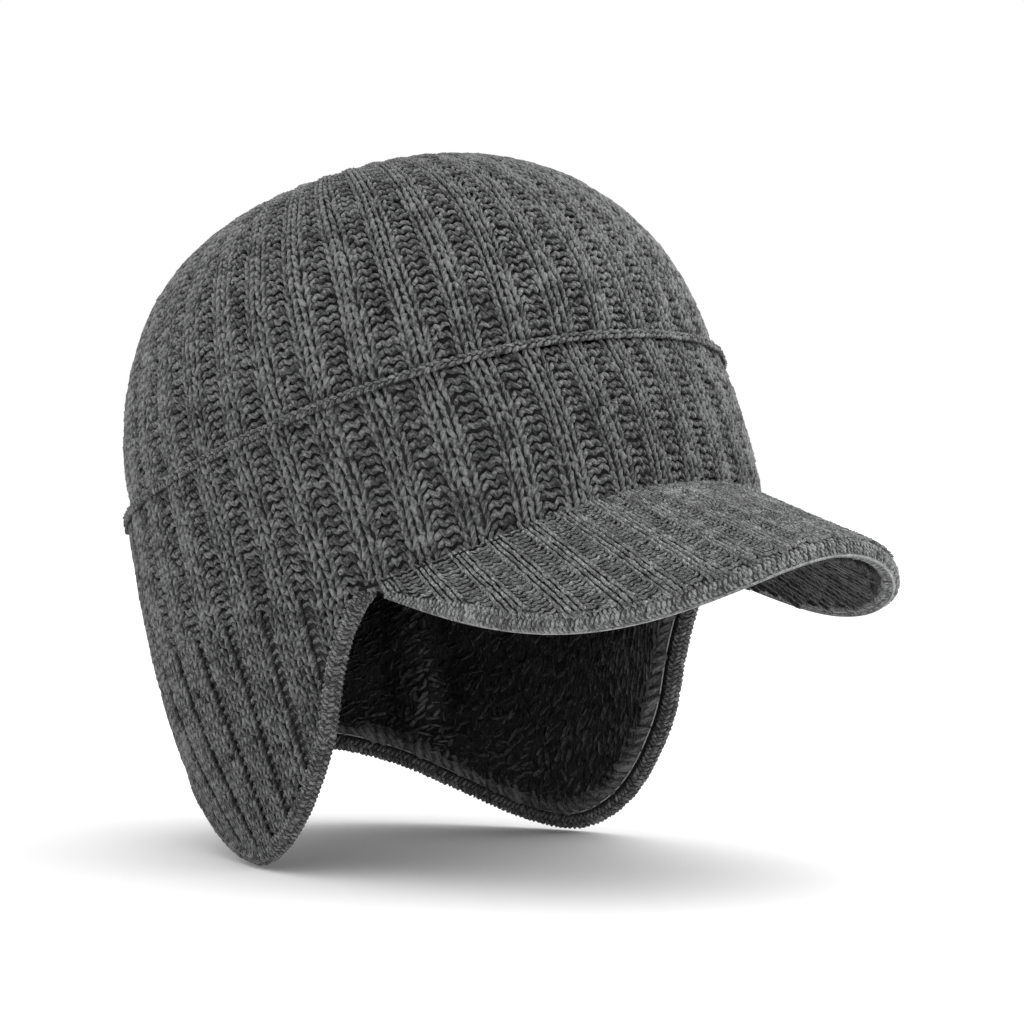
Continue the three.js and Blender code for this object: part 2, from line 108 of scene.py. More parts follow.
# Angle round the head, depth of the edge in band heights
BAND_EDGE = np.array([
    (0, 0.98), (16, 0.995), (30, 1.042), (44, 1.1), (56, 1.128),
    (74, 1.125), (84, 1.045), (100, 1.02), (130, 0.985), (180, 0.97),
])
FLAP_EDGE = np.array([
    (PEAK_ANGLE, 1.2), (72, 1.33), (77, 1.57), (82, 1.9), (88, 2.13), (96, 2.33), (104, 2.435),
    (112, 2.46), (119, 2.39), (127, 2.22), (136, 1.96), (147, 1.68), (160, 1.5), (180, 1.447),
])

# Knit: ribs round the head and the pitch of its courses
RIB_COUNT = 38
RIB_STEP = 360 / RIB_COUNT
RIB_WIDTH = 17.4
COURSE = 3.05
BAND_COURSES = 18
FLAP_COURSES = 27
PEAK_RIBS = 21
PEAK_RIB_WIDTH = 9.4
PEAK_COURSE = 1.9


def plain_camera():
    """The camera at the photo's angle, a little above the floor."""
    azimuth, elevation, distance = -44.18 * DEGREES, 1.55 * DEGREES, 1200
    aside, above = 32.59, -22.91
    back = Vector((
        math.sin(azimuth) * math.cos(elevation),
        -math.cos(azimuth) * math.cos(elevation),
        math.sin(elevation),
    ))
    right = Vector((math.cos(azimuth), math.sin(azimuth), 0))
    up = back.cross(right)
    lean = HEAD_TILT * DEGREES
    ridge = Vector((0, BAND_HEIGHT * math.sin(lean), BAND_HEIGHT * math.cos(lean)))
    place = (ridge + back * distance + right * aside + up * above) * MM
    lens = bpy.data.cameras.new("camera")
    lens.sensor_width = 36
    lens.lens = 120.8
    camera = bpy.data.objects.new("camera", lens)
    camera.matrix_world = Matrix.Translation(place) @ Matrix((right, up, back)).transposed().to_4x4()
    bpy.context.collection.objects.link(camera)
    bpy.context.scene.camera = camera


plain_camera()


def mix(a, b, t):
    return a + (b - a) * t


def smooth(t):
    t = np.clip(t, 0, 1)
    return t * t * (3 - 2 * t)


def read_rows(rows, value):
    """The smooth curve through a table's rows, read at each value of its first column."""
    x, y = rows[:, 0], rows[:, 1]
    last = len(x) - 1
    k = np.clip(np.searchsorted(x, value) - 1, 0, last - 1)
    ahead = np.minimum(np.arange(last + 1) + 1, last)
    behind = np.maximum(np.arange(last + 1) - 1, 0)
    slope = (y[ahead] - y[behind]) / (x[ahead] - x[behind])
    span = x[k + 1] - x[k]
    t = np.clip((value - x[k]) / span, 0, 1)
    level = (1 + 2 * t) * (1 - t) ** 2 * y[k] + t * t * (3 - 2 * t) * y[k + 1]
    return level + span * (t * (1 - t) ** 2 * slope[k] - t * t * (1 - t) * slope[k + 1])


def shell_share(key, depth):
    """Share of the reach at a depth: the parabola through the three shell rows."""
    total = 0
    for i in range(3):
        weight = 1
        for j in range(3):
            if j != i:
                weight = weight * (depth - SHELL_ROWS[j, 0]) / (SHELL_ROWS[i, 0] - SHELL_ROWS[j, 0])
        total = total + SHELL_ROWS[i, key] * weight
    return total


def plan(angle, exponent):
    """Direction round the head on a slightly squared oval, as fore and aside."""
    fore = -np.cos(angle * DEGREES)
    aside = np.sin(angle * DEGREES)
    length = (np.abs(fore) ** exponent + np.abs(aside) ** exponent) ** (-1 / exponent)
    return fore * length, aside * length


def place(x, y, z):
    """The head leans back, and the origin is the middle of the brow ring."""
    lift = z + BAND_HEIGHT
    cos, sin = math.cos(HEAD_TILT * DEGREES), math.sin(HEAD_TILT * DEGREES)
    return np.stack(np.broadcast_arrays(x, y * cos + lift * sin, lift * cos - y * sin), -1)


def fold(angle):
    turn = np.mod(angle, 360)
    return np.where(turn > 180, 360 - turn, turn)


def ridge_height(angle):
    return -RIDGE_SAG * np.sin(angle * DEGREES) ** 2


def band_edge(angle):
    return -BAND_HEIGHT * read_rows(BAND_EDGE, fold(angle))


def flap_edge(angle):
    return -BAND_HEIGHT * read_rows(FLAP_EDGE, fold(angle))


def shell_point(angle, z, out):
    depth = -z / BAND_HEIGHT
    fore, aside = plan(angle, PLAN_ROUND)
    reach = np.where(fore < 0, HALF_FRONT * shell_share(FRONT, depth), HALF_BACK * shell_share(BACK, depth))
    return place((HALF_WIDTH * shell_share(SIDE, depth) + out) * aside, (reach + out) * fore, z)


def crown_point(angle, climb, inset=0):
    sin = np.sin(climb * DEGREES)
    cos = np.maximum(np.cos(climb * DEGREES), 0)
    radius = cos ** CROWN_ROUND * (1 + 2 * CROWN_SWELL * sin * cos)
    rise = sin ** CROWN_RISE
    fore, aside = plan(angle, mix(2, PLAN_ROUND, cos))
    reach = np.where(fore < 0, HALF_FRONT, HALF_BACK) - inset
    dip = GATHER_DIP * np.clip(1 - radius / GATHER_SIZE, 0, 1) ** 2
    z = (CROWN_HEIGHT - inset) * rise + ridge_height(angle) * (1 - rise) - dip
    return place((HALF_WIDTH - inset) * aside * radius, reach * fore * radius + CROWN_SHIFT * rise ** 2, z)


# Length along the crown's side from the ridge to the gather, against the climb that crown_point takes
CLIMBS = np.linspace(0, 90, 721)
SIDE_LINE = crown_point(np.full(CLIMBS.shape, 90.0), CLIMBS)
CROWN_RUN = np.concatenate([[0], np.cumsum(np.linalg.norm(np.diff(SIDE_LINE, axis=0), axis=1))])
CROWN_COURSES = int(CROWN_RUN[-1] / COURSE)


def peak_size(side):
    """The peak grows thinner and narrower towards its corners."""
    return mix(PEAK_CORNER_SHARE, 1, smooth((1 - np.abs(side)) / PEAK_CORNER_RUN))


def peak_sheet(side, reach):
    """The peak before it gets its thickness: side from -1 to 1 over the brow, reach from seam to rim."""
    side = np.clip(side, -1, 1)
    angle = side * PEAK_ANGLE
    seam = band_edge(angle) - 0.3
    corner = -BAND_HEIGHT * FLAP_EDGE[0, 1]
    spread = np.clip(1 - np.abs(side) ** PEAK_SIDE_ROUND, 0, 1) ** PEAK_FRONT_ROUND
    root = shell_point(angle, seam, BAND_STAND)
    fall = (PEAK_DROP + corner - band_edge(0)) * (1 - np.abs(side) ** PEAK_ARCH)
    side_fall = PEAK_SIDE_DROP * 4 * side ** 2 * (1 - side ** 2)
    rim_height = corner - fall - side_fall
    fore, aside = plan(angle, PLAN_ROUND)
    depth = -seam / BAND_HEIGHT
    x = (HALF_WIDTH * shell_share(SIDE, depth) + BAND_STAND) * aside * (1 - PEAK_NARROWING * spread)
    y = (HALF_FRONT * shell_share(FRONT, depth) + BAND_STAND) * fore - PEAK_REACH * spread
    return root + (place(x, y, rim_height) - root) * np.asarray(reach)[..., None]


def rim_distance(side, reach):
    """Distance of places on the peak from its rim."""
    rim = peak_sheet(np.linspace(-1, 1, 241), np.ones(241))
    spots = peak_sheet(side, reach)
    parts = [np.min(np.linalg.norm(part[:, None] - rim[None], axis=2), axis=1)
             for part in np.array_split(spots, len(spots) // 2000 + 1)]
    return np.concatenate(parts)


def unit(vectors):
    return vectors / np.maximum(np.linalg.norm(vectors, axis=-1, keepdims=True), 1e-9)


def peak_normal(side, reach):
    step = 0.01
    side = np.clip(side, -PEAK_EDGE_END, PEAK_EDGE_END)
    across = peak_sheet(side + step, reach) - peak_sheet(side - step, reach)
    along = peak_sheet(side, reach + step) - peak_sheet(side, reach - step)
    return unit(np.cross(along, across))


# Bodies of stitches, made flat and then laid on the cap


def new_bmesh():
    bm = bmesh.new()
    bm.loops.layers.uv.new("strand")
    return bm


def seed(bm, centre, size, lean=0.0, bow=0.0, flat=False, sides=5, rings=3):
    """One plump strand of yarn: width, length and thickness, its long way along Y, or along X when flat."""
    axis = "Y" if flat else "X"
    turn = Matrix.Rotation(math.radians(90), 4, axis)
    made = bmesh.ops.create_uvsphere(
        bm, u_segments=sides, v_segments=rings, radius=0.5, matrix=turn, calc_uvs=True)
    width, length, thickness = size
    for vert in made["verts"]:
        x, y, z = vert.co
        along = 2 * (x if flat else y)
        if flat:
            vert.co = (
                centre[0] + length * x,
                centre[1] + width * y + lean * length * x,
                centre[2] + thickness * z - bow * along ** 2,
            )
        else:
            vert.co = (
                centre[0] + width * x + lean * length * y,
                centre[1] + length * y,
                centre[2] + thickness * z - bow * along ** 2,
            )


# Middles of the V legs across one rib, and of the purl bumps between it and the next
LEGS = (-3.75, -1.25, 1.25, 3.75)
BUMPS = (5.9, 7.8, 9.6, 11.5)
FLAP_LEGS = (-5.5, -3.3, -1.1, 1.1, 3.3, 5.5)
FLAP_BUMPS = (7.8, 9.6)
BUMP_SLOPE = 0.65
UNDER_LEGS = (-3.5, -1.17, 1.17, 3.5)
UNDER_COURSE = 4.6

# How far the stitches of a tile stray: its first four, and its other four on crown and band,
# on the flaps and on the peak
PLAIN_LEGS = (1, 1, 1, 1)
PURL_LOOSENESS = 2.4
FLAP_LOOSENESS = 1.5
PEAK_LOOSENESS = 1.6

# The distances from the gather, in half widths, at which the purl bumps and then the outer legs end
BUMP_END = 0.1
OUTER_LEG_END = 0.07

# The closed sheet under the stitches: its heights on and between the ribs, its wall, and the half
# width of a rib's face and the run of its edge, as shares of a rib
GROUND_HIGH = -1.9
GROUND_LOW = -3.2
GROUND_WALL = 0.8
RIB_FACE = 0.26
RIB_EDGE = 0.1

# The button of knit at the gather: half its width, and half its height
GATHER_BUTTON = 5.5
GATHER_PLUMP = 2

# The painted shadow line along the seam under the band, a near-black cord: how far round it runs, its
# radius, its drop and how far it stands out
SEAM_ANGLE = 69
SEAM_RADIUS = 0.6
SEAM_DROP = 0.9
SEAM_STAND = 1.4

# The hem's stitches start this many degrees before its solid, close to the peak's corner
HEM_LEAD = 0.8

# The fleece: the share of its way that lies below the ridge, how uneven it is, and how far its soft
# fold stands out between two heights
LOW_SHARE = 0.46
FLEECE_WAVE = 0.8
FOLD_STAND = 9
FOLD_BOTTOM = -82
FOLD_TOP = -20

# Corners of one stitch, of one stroke round an edge, and of one curl
STITCH = 12
STROKE = 17
CURL = 8


def rib_tile(gauge, legs, leg_size, lean, bow, bumps=(), bump_size=(), bump_height=0):
    """One rib wide and one course high: columns of V stitches, and purl bumps between the ribs.

    The lengths are for the chunky yarn, and gauge makes them smaller."""
    bm = new_bmesh()
    size = [length * gauge for length in leg_size]
    for index, x in enumerate(legs):
        side = -1 if index % 2 == 0 else 1
        height = -1.2 if abs(x) == max(legs) else -0.85
        seed(bm, (x * gauge, 0, height * gauge), size, lean * side, bow * gauge)
    size = [length * gauge for length in bump_size]
    for index, x in enumerate(bumps):
        slope = BUMP_SLOPE if index % 2 == 0 else -BUMP_SLOPE
        seed(bm, (x * gauge, 0, bump_height * gauge), size, slope, 0.3 * gauge, flat=True)
    return bm


@contextmanager
def edited(mesh):
    """The mesh as a bmesh, which is written back at the end."""
    bm = bmesh.new()
    bm.from_mesh(mesh)
    yield bm
    bm.to_mesh(mesh)
    bm.free()


def new_piece(name, bm):
    mesh = bpy.data.meshes.new(name)
    bm.to_mesh(mesh)
    bm.free()
    piece = bpy.data.objects.new(name, mesh)
    bpy.context.collection.objects.link(piece)
    return piece


def repeat(piece, axis, count, step):
    array = piece.modifiers.new("repeat", "ARRAY")
    array.use_relative_offset = False
    array.use_constant_offset = True
    offset = [0, 0, 0]
    offset[axis] = step
    array.constant_offset_displace = offset
    array.count = count


def settle(piece):
    """Applies a piece's modifiers."""
    depsgraph = bpy.context.evaluated_depsgraph_get()
    mesh = bpy.data.meshes.new_from_object(piece.evaluated_get(depsgraph))
    piece.modifiers.clear()
    piece.data = mesh


def swatch(name, bm, columns, column_step, rows, row_step):
    """A flat swatch of a tile, columns along X and rows along Y."""
    piece = new_piece(name, bm)
    repeat(piece, 0, columns, column_step)
    repeat(piece, 1, rows, row_step)
    settle(piece)
    return piece


def read_points(mesh):
    points = np.empty(len(mesh.vertices) * 3, np.float32)
    mesh.vertices.foreach_get("co", points)
    return points.reshape(-1, 3).astype(float)


def write_points(mesh, points):
    mesh.vertices.foreach_set("co", points.astype(np.float32).ravel())
    mesh.update()


def set_tone_and_shade(mesh, values):
    tone_and_shade = mesh.attributes.new("tone_and_shade", "FLOAT", "POINT")
    tone_and_shade.data.foreach_set("value", values.astype(np.float32))


def stitch_centres(points, number):
    """The middle of each stitch."""
    count = np.bincount(number)
    return np.stack([np.bincount(number, points[:, axis]) / count for axis in range(3)], 1)


def loosen(mesh, corners, seed_number, shift, turn, looseness=(1,)):
    """Small differences from stitch to stitch, and a tone: a random one for each stitch, plus a painted
    highlight on its crest and painted shade down its sides.

    The stitches of a tile take the values of looseness in turn, and a larger one moves more."""
    points = read_points(mesh)
    number = np.arange(len(points)) // corners
    centres = stitch_centres(points, number)
    chance = np.random.default_rng(seed_number)
    offset = points - centres[number]
    loose = np.resize(looseness, len(centres))
    angle = (chance.normal(0, turn * DEGREES, len(centres)) * loose)[number]
    cos, sin = np.cos(angle), np.sin(angle)
    size = chance.normal(1, 0.06, len(centres))[number]
    turned = np.stack([
        offset[:, 0] * cos - offset[:, 1] * sin,
        offset[:, 0] * sin + offset[:, 1] * cos,
        offset[:, 2],
    ], 1)
    moved = centres + chance.normal(0, shift, centres.shape) * loose[:, None]
    write_points(mesh, moved[number] + turned * size[:, None])
    # Painted highlight and shade: each stitch is lighter on its crest and darker down its sides
    crest = np.clip(0.45 + 0.55 * offset[:, 2] / np.max(offset[:, 2]), 0, 1)
    set_tone_and_shade(mesh, 0.4 * chance.random(len(centres))[number] + 0.6 * crest)
    return number


def lay(piece, surface, nominal, bend=0.6):
    """Lays a flat piece on a surface. The height of its stitches follows how wide they come out."""
    points = read_points(piece.data)
    u, v, height = points[:, 0], points[:, 1], points[:, 2]
    step = 0.02
    across = surface(u + step, v) - surface(u - step, v)
    along = surface(u, v + step) - surface(u, v - step)
    width = np.linalg.norm(across, axis=1) / (2 * step)
    gauge = np.clip(width / nominal, 0.12, 1.1) ** bend
    normal = unit(np.cross(across, along))
    write_points(piece.data, (surface(u, v) + normal * (height * gauge)[:, None]) * MM)


def keep_stitches(piece, number, keep):
    """Deletes the stitches that are cut off; keep has one truth value for each stitch."""
    with edited(piece.data) as bm:
        doomed = [vert for vert, kept in zip(bm.verts, keep[number]) if not kept]
        bmesh.ops.delete(bm, geom=doomed, context="VERTS")


def turn_over(mesh):
    """Turns every face over."""
    with edited(mesh) as bm:
        bmesh.ops.reverse_faces(bm, faces=bm.faces)


def join_seams(mesh, reach=0.02):
    """Merges the points that meet where a flat piece closes round."""
    with edited(mesh) as bm:
        bmesh.ops.remove_doubles(bm, verts=bm.verts, dist=reach * MM)


def thicken(piece, wall):
    solid = piece.modifiers.new("wall", "SOLIDIFY")
    solid.thickness = wall * MM
    solid.offset = -1
    settle(piece)


def flat_grid(name, columns, rows, width, height):
    """A flat sheet from the origin to its width and height."""
    bm = new_bmesh()
    bmesh.ops.create_grid(bm, x_segments=columns, y_segments=rows, size=0.5, calc_uvs=True)
    for vert in bm.verts:
        vert.co = ((vert.co.x + 0.5) * width, (vert.co.y + 0.5) * height, 0)
    return new_piece(name, bm)


class Roll:
    """The line of a rounded edge or cord, with its section's two half axes, read at any length along it."""

    def __init__(self, centre, across, outward):
        steps = np.linalg.norm(np.diff(centre, axis=0), axis=1)
        self.run = np.concatenate([[0], np.cumsum(steps)])
        self.length = self.run[-1]
        self.table = np.hstack([centre, across, outward])
        self.full = np.max(np.linalg.norm(across, axis=1))

    def lay(self, points, round_by):
        """Points whose x runs along the roll, y round it in millimetres, and z off its surface."""
        row = np.stack([np.interp(points[:, 0], self.run, column) for column in self.table.T], 1)
        centre, across, outward = row[:, :3], row[:, 3:6], row[:, 6:]
        wide = np.linalg.norm(across, axis=1)
        tall = np.linalg.norm(outward, axis=1)
        turn = points[:, 1] / round_by
        height = points[:, 2] * wide / self.full
        side = across * ((1 + height / wide) * np.cos(turn))[:, None]
        top = outward * ((1 + height / tall) * np.sin(turn))[:, None]
        return centre + side + top


def roll_core(name, roll, shrink, material, slot, closed, sides=14):
    """The plain body inside a roll."""
    columns = int(roll.length / 2.5)
    core = flat_grid(name, columns, sides, roll.length, 2 * math.pi)
    points = read_points(core.data)
    points[:, 2] = -shrink
    write_points(core.data, roll.lay(points, 1) * MM)
    join_seams(core.data)
    if not closed:
        with edited(core.data) as bm:
            bmesh.ops.holes_fill(bm, edges=[edge for edge in bm.edges if edge.is_boundary])
    recalculate(core.data)
    finish_piece(core, material, slot)


def recalculate(mesh):
    """Turns the faces of closed bodies outwards."""
    with edited(mesh) as bm:
        bmesh.ops.recalc_face_normals(bm, faces=bm.faces)


def stroke_tile(rows, radius, step, flat):
    """One step along a roll, with a strand for each row. A row has its turn round the section, the strand's
    size and lean, and its height."""
    bm = new_bmesh()
    for index, (turn, size, lean, height) in enumerate(rows):
        shift = step / 2 if index % 2 else 0
        seed(bm, (shift, turn * DEGREES * radius, height), size, lean, 0.4, flat, 5, 4)
    return bm


def roll_strokes(name, roll, rows, pitch, radius, seed_number, shift=0.16, turn=7, flat=False):
    """Rows of short strands laid round a roll."""
    count = int(roll.length / pitch)
    step = roll.length / count
    piece = swatch(name, stroke_tile(rows, radius, step, flat), count, step, 1, 1)
    loosen(piece.data, STROKE, seed_number, shift, turn)
    points = read_points(piece.data)
    points[:, 0] += step / 4
    write_points(piece.data, roll.lay(points, radius) * MM)
    recalculate(piece.data)
    return piece


def finish_piece(piece, material, slot, *nodes):
    piece.data.materials.clear()
    piece.data.materials.append(material)
    piece.data.polygons.foreach_set("use_smooth", [True] * len(piece.data.polygons))
    if "tone_and_shade" not in piece.data.attributes:
        set_tone_and_shade(piece.data, np.full(len(piece.data.vertices), 0.5))
    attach(piece, "root")
    if nodes:
        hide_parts(*nodes)


# Materials


def node(tree, kind, **settings):
    made = tree.nodes.new("ShaderNode" + kind)
    for name, value in settings.items():
        setattr(made, name, value)
    return made


def new_material(name):
    material = bpy.data.materials.new(name)
    material.use_nodes = True
    tree = material.node_tree
    return material, tree, tree.nodes["Principled BSDF"]


def colour_ramp(tree, stops):
    ramp = node(tree, "ValToRGB")
    elements = ramp.color_ramp.elements
    while len(elements) < len(stops):
        elements.new(0.5)
    for element, (position, grey, cool) in zip(elements, stops):
        element.position = position
        element.color = (grey, grey * (1 + cool * 0.5), grey * (1 + cool), 1)
    return ramp


def noise(tree, place_on, scale, detail, distortion=0.0):
    texture = node(tree, "TexNoise")
    texture.inputs["Scale"].default_value = scale
    texture.inputs["Detail"].default_value = detail
    texture.inputs["Distortion"].default_value = distortion
    tree.links.new(place_on, texture.inputs["Vector"])
    return texture.outputs["Fac"]


def weigh(tree, *parts):
    """A half, and the weighed difference of each part from a half."""
    total = 0.5 - 0.5 * sum(weight for _, weight in parts)
    for socket, weight in parts:
        step = node(tree, "Math", operation="MULTIPLY_ADD")
        tree.links.new(socket, step.inputs[0])
        step.inputs[1].default_value = weight
        if isinstance(total, float):
            step.inputs[2].default_value = total
        else:
            tree.links.new(total, step.inputs[2])
        total = step.outputs[0]
    return total


def relief(tree, shader, height, strength, distance):
    bump = node(tree, "Bump")
    bump.inputs["Strength"].default_value = strength
    bump.inputs["Distance"].default_value = distance
    tree.links.new(height, bump.inputs["Height"])
    tree.links.new(bump.outputs["Normal"], shader.inputs["Normal"])


def yarn(name, dark, middle, light, grain):
    """Heather yarn: plied strands with lighter and darker fibres, matt and a little fuzzy."""
    material, tree, shader = new_material(name)
    strand = node(tree, "UVMap", uv_map="strand")
    plies = node(tree, "Mapping")
    plies.inputs["Rotation"].default_value = (0, 0, math.radians(40))
    tree.links.new(strand.outputs["UV"], plies.inputs["Vector"])
    twist = node(tree, "TexWave", wave_type="BANDS", bands_direction="X")
    twist.inputs["Scale"].default_value = 1.5
    twist.inputs["Distortion"].default_value = 1.5
    twist.inputs["Detail"].default_value = 1
    tree.links.new(plies.outputs["Vector"], twist.inputs["Vector"])
    place_on = node(tree, "TexCoord").outputs["Object"]
    fibres = noise(tree, place_on, 1700 * grain, 3)
    flecks = noise(tree, place_on, 650 * grain, 2)
    patches = noise(tree, place_on, 70, 2)
    # This attribute holds a random tone for each stitch and painted light: a highlight on its crest, shade
    # down its sides
    tone_and_shade = node(tree, "Attribute", attribute_name="tone_and_shade").outputs["Fac"]
    plied = twist.outputs["Fac"]
    shade = weigh(tree, (fibres, 0.7), (flecks, 0.7), (patches, 0.3), (tone_and_shade, 0.75), (plied, 0.2))
    ramp = colour_ramp(tree, ((0.2, dark, 0.02), (0.5, middle, 0.02), (0.85, light, 0.015)))
    tree.links.new(shade, ramp.inputs["Fac"])
    tree.links.new(ramp.outputs["Color"], shader.inputs["Base Color"])
    height = weigh(tree, (fibres, 0.9), (plied, 0.8))
    relief(tree, shader, height, 0.7, 0.0004)
    shader.inputs["Roughness"].default_value = 0.9
    shader.inputs["Specular IOR Level"].default_value = 0.2
    shader.inputs["Sheen Weight"].default_value = 0.15
    shader.inputs["Sheen Roughness"].default_value = 0.5
    return material


def plain_knit(name, dark, light):
    """Knit seen from too far for its stitches, or deep between them, where its darkness is painted shade.
    The tone attribute lightens it.
    """
    material, tree, shader = new_material(name)
    place_on = node(tree, "TexCoord").outputs["Object"]
    fibres = noise(tree, place_on, 1000, 3)
    tone_and_shade = node(tree, "Attribute", attribute_name="tone_and_shade").outputs["Fac"]
    shade = weigh(tree, (fibres, 1.0), (tone_and_shade, 0.9))
    ramp = colour_ramp(tree, ((0.15, dark, 0.02), (0.85, light, 0.02)))
    tree.links.new(shade, ramp.inputs["Fac"])
    tree.links.new(ramp.outputs["Color"], shader.inputs["Base Color"])
    relief(tree, shader, fibres, 0.7, 0.0006)
    shader.inputs["Roughness"].default_value = 0.95
    shader.inputs["Specular IOR Level"].default_value = 0.15
    return material


def fleece_material():
    """Black curly pile, softly shining, and a little lighter on its crests as a painted highlight."""
    material, tree, shader = new_material("black fleece")
    on_piece = node(tree, "TexCoord").outputs["Object"]
    combed = node(tree, "Mapping")
    combed.inputs["Scale"].default_value = (1, 1, 0.45)
    tree.links.new(on_piece, combed.inputs["Vector"])
    curls = noise(tree, combed.outputs["Vector"], 900, 3, 0.8)
    tone_and_shade = node(tree, "Attribute", attribute_name="tone_and_shade").outputs["Fac"]
    shade = weigh(tree, (curls, 1.1), (tone_and_shade, 0.9))
    ramp = colour_ramp(tree, ((0.35, 0.0015, 0.02), (0.65, 0.022, 0.02), (1, 0.15, 0.01)))
    tree.links.new(shade, ramp.inputs["Fac"])
    tree.links.new(ramp.outputs["Color"], shader.inputs["Base Color"])
    relief(tree, shader, curls, 0.9, 0.0012)
    shader.inputs["Roughness"].default_value = 0.7
    shader.inputs["Specular IOR Level"].default_value = 0.3
    shader.inputs["Sheen Weight"].default_value = 0.22
    shader.inputs["Sheen Roughness"].default_value = 0.35
    return material


CHUNKY = yarn("charcoal heather yarn", 0.017, 0.064, 0.24, 1)
# The band's yarn is the crown's, darkened as painted shade on the upright band
BAND_SHADE_YARN = yarn("charcoal yarn in painted band shade", 0.0145, 0.055, 0.215, 1)
SLIM = yarn("stretched charcoal yarn", 0.013, 0.052, 0.21, 1)
# The peak's finer, lighter yarn, made lighter still as painted light on the upward-facing peak; its lip
# uses it too
FINE_LIT = yarn("lighter heather yarn with painted light", 0.057, 0.21, 0.52, 1.3)
RIM = yarn("rim heather yarn", 0.026, 0.105, 0.33, 1.3)
FACING = yarn("facing yarn", 0.014, 0.055, 0.16, 1.3)
SHADED = yarn("shaded yarn", 0.015, 0.057, 0.16, 1.3)
# Painted shade: these dark knit grounds and cores stand for the shadowed gaps under and between the
# stitches
SHADED_GROUND = plain_knit("knit ground in painted shade", 0.012, 0.055)
SHADED_EDGE_GROUND = plain_knit("edge ground in painted shade", 0.018, 0.085)
# A painted shadow line: the near-black colour of the cord at the band's lower seam
SEAM_SHADOW = plain_knit("painted seam shadow", 0.003, 0.014)
THREAD = plain_knit("pale seam thread", 0.25, 0.6)
FLEECE = fleece_material()


# Surfaces that flat pieces are laid on: u counts ribs round the head, v counts courses


def wander(u, v):
    """Ribs never run quite straight."""
    return u + 0.03 * np.sin(0.9 * u + 0.16 * v) + 0.022 * np.sin(2.3 * u - 0.27 * v + 1.0)


def crown_surface(u, v):
    length = np.clip(v * (CROWN_RUN[-1] / CROWN_COURSES), 0, CROWN_RUN[-1])
    climb = np.interp(length, CROWN_RUN, CLIMBS)
    return crown_point(wander(u, v) * RIB_STEP, np.minimum(climb, 89.7))


def band_surface(u, v):
    """The band. Its lowest course hangs a little below the edge, and lower at the peak's corners."""
    share = v / BAND_COURSES
    angle = wander(u, v) * RIB_STEP
    top = ridge_height(angle) - RIDGE_WIDTH * 0.15
    corner = 1.6 * np.exp(-((fold(angle) - PEAK_ANGLE - 1.5) / 3.5) ** 2)
    return shell_point(angle, mix(band_edge(angle) - 0.6 - corner, top, share), BAND_STAND)


def flap_lean(angle):
    share = np.clip((fold(angle) - FLAP_TIP_ANGLE) / (180 - FLAP_TIP_ANGLE), 0, 1)
    lean = FLAP_RIB_LEAN * np.sin(math.pi * share)
    return np.where(np.mod(angle, 360) > 180, lean, -lean)


def flap_place(u, v):
    """Angle and height of a place on the flaps, v courses above their lowest course."""
    angle = wander(u, v) * RIB_STEP
    drop = (FLAP_COURSES - v) * COURSE
    full = np.maximum(band_edge(angle) - flap_edge(angle), 8)
    share = np.clip(drop / full, 0, 1.6)
    return angle + flap_lean(angle) * share ** RIB_LEAN_CURVE, band_edge(angle) - 0.4 - drop


def flap_surface(u, v):
    angle, z = flap_place(u, v)
    return shell_point(angle, z, BAND_STAND)


def peak_reach(side, distance):
    """The share of the way to the rim at a distance from the seam."""
    length = np.linalg.norm(peak_sheet(side, 1.0) - peak_sheet(side, 0.0), axis=-1)
    return distance / np.maximum(length, 0.5)


def peak_surface(u, v):
    side = u * 2 / PEAK_RIBS
    reach = peak_reach(side, v * PEAK_COURSE)
    lift = PEAK_THICKNESS * peak_size(side) * reach
    return peak_sheet(side, reach) + peak_normal(side, reach) * np.asarray(lift)[..., None]


def under_surface(u, v):
    """The peak's lower face, with u the other way so that its stitches stand downwards."""
    side = -u * 2 / PEAK_RIBS
    reach = peak_reach(side, v * UNDER_COURSE)
    lift = PEAK_THICKNESS * peak_size(side) * (reach - 1)
    return peak_sheet(side, reach) + peak_normal(side, reach) * np.asarray(lift)[..., None]


# Pieces


def chunky_tile():
    return rib_tile(1, LEGS, (2.15, 5.7, 3.2), 0.26, 1.7, BUMPS, (2.7, 3.2, 2.9), -1.95)


def flap_tile():
    """The flaps' ribbing is pulled long: slimmer legs, and narrow furrows between the ribs."""
    return rib_tile(1, FLAP_LEGS, (1.75, 5.9, 2.8), 0.27, 1.7, FLAP_BUMPS, (2.0, 3.0, 2.2), -2.8)


def knit_sector(name, tile, first, ribs, courses, seed_number, purl=PURL_LOOSENESS):
    """A flat piece of ribbing: u counts ribs round the head and v counts courses."""
    piece = swatch(name, tile, ribs, RIB_WIDTH, courses, COURSE)
    number = loosen(piece.data, STITCH, seed_number, 0.1, 4, PLAIN_LEGS + (purl,) * 4)
    points = read_points(piece.data)
    points[:, 0] = points[:, 0] / RIB_WIDTH + first
    points[:, 1] = points[:, 1] / COURSE + 0.5
    write_points(piece.data, points)
    return piece, number


def ground_piece(name, first, ribs, rows, row_count, surface):
    """The closed knit sheet under the stitches, deeper between the ribs."""
    bm = new_bmesh()
    columns = ribs * 6
    bmesh.ops.create_grid(bm, x_segments=columns, y_segments=row_count, size=0.5)
    for vert in bm.verts:
        x, y, z = vert.co
        u = first - 0.5 + (x + 0.5) * ribs
        phase = abs(u - round(u))
        deep = smooth((phase - RIB_FACE) / RIB_EDGE)
        vert.co = (u, (y + 0.5) * rows, mix(GROUND_HIGH, GROUND_LOW, float(deep)))
    piece = new_piece(name, bm)
    lay(piece, surface, RIB_WIDTH)
    join_seams(piece.data)
    thicken(piece, GROUND_WALL)
    return piece


